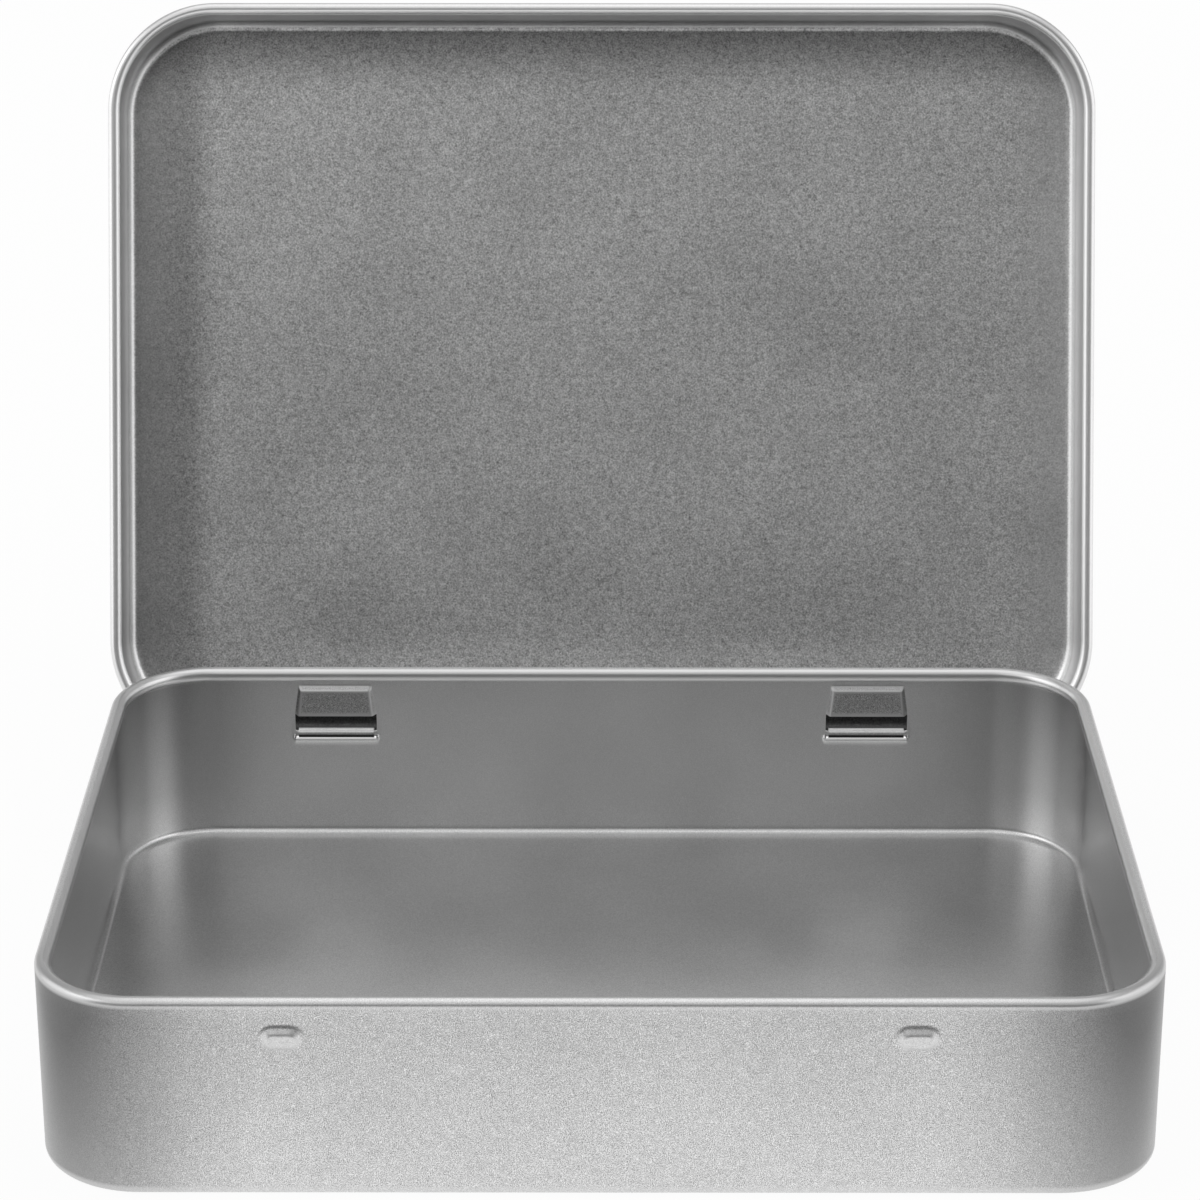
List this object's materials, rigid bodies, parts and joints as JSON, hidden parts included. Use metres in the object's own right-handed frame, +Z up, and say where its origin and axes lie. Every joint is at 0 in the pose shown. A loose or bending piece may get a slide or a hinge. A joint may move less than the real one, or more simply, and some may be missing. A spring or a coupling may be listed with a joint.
{
  "type": "hinged tin",
  "caption": "Shallow rectangular hinged tin of plain satin tinplate with rounded corners and rolled rims; its lid swings on curled-tab hinges and stands open on its stop.",
  "frame": {"origin": "middle of the tray's flat underside", "axes": "+X along the hinge line, +Y towards the hinged back wall, +Z up; the lid is stored open on its stop"},
  "size_m": [0.1914, 0.1994, 0.154],
  "materials": {
    "tray_tinplate": "satin",
    "lid_tinplate": "satin"
  },
  "bodies": {
    "tray": {"base_tray": "tray_tinplate"},
    "lid": {"lid": "lid_tinplate"}
  },
  "joints": [
    {"name": "lid_hinge", "type": "hinge", "parent": "tray", "child": "lid", "pos_m": [0, 0.06925, 0.0213], "axis": [1, 0, 0], "range_deg": [0, 109.66]}
  ]
}
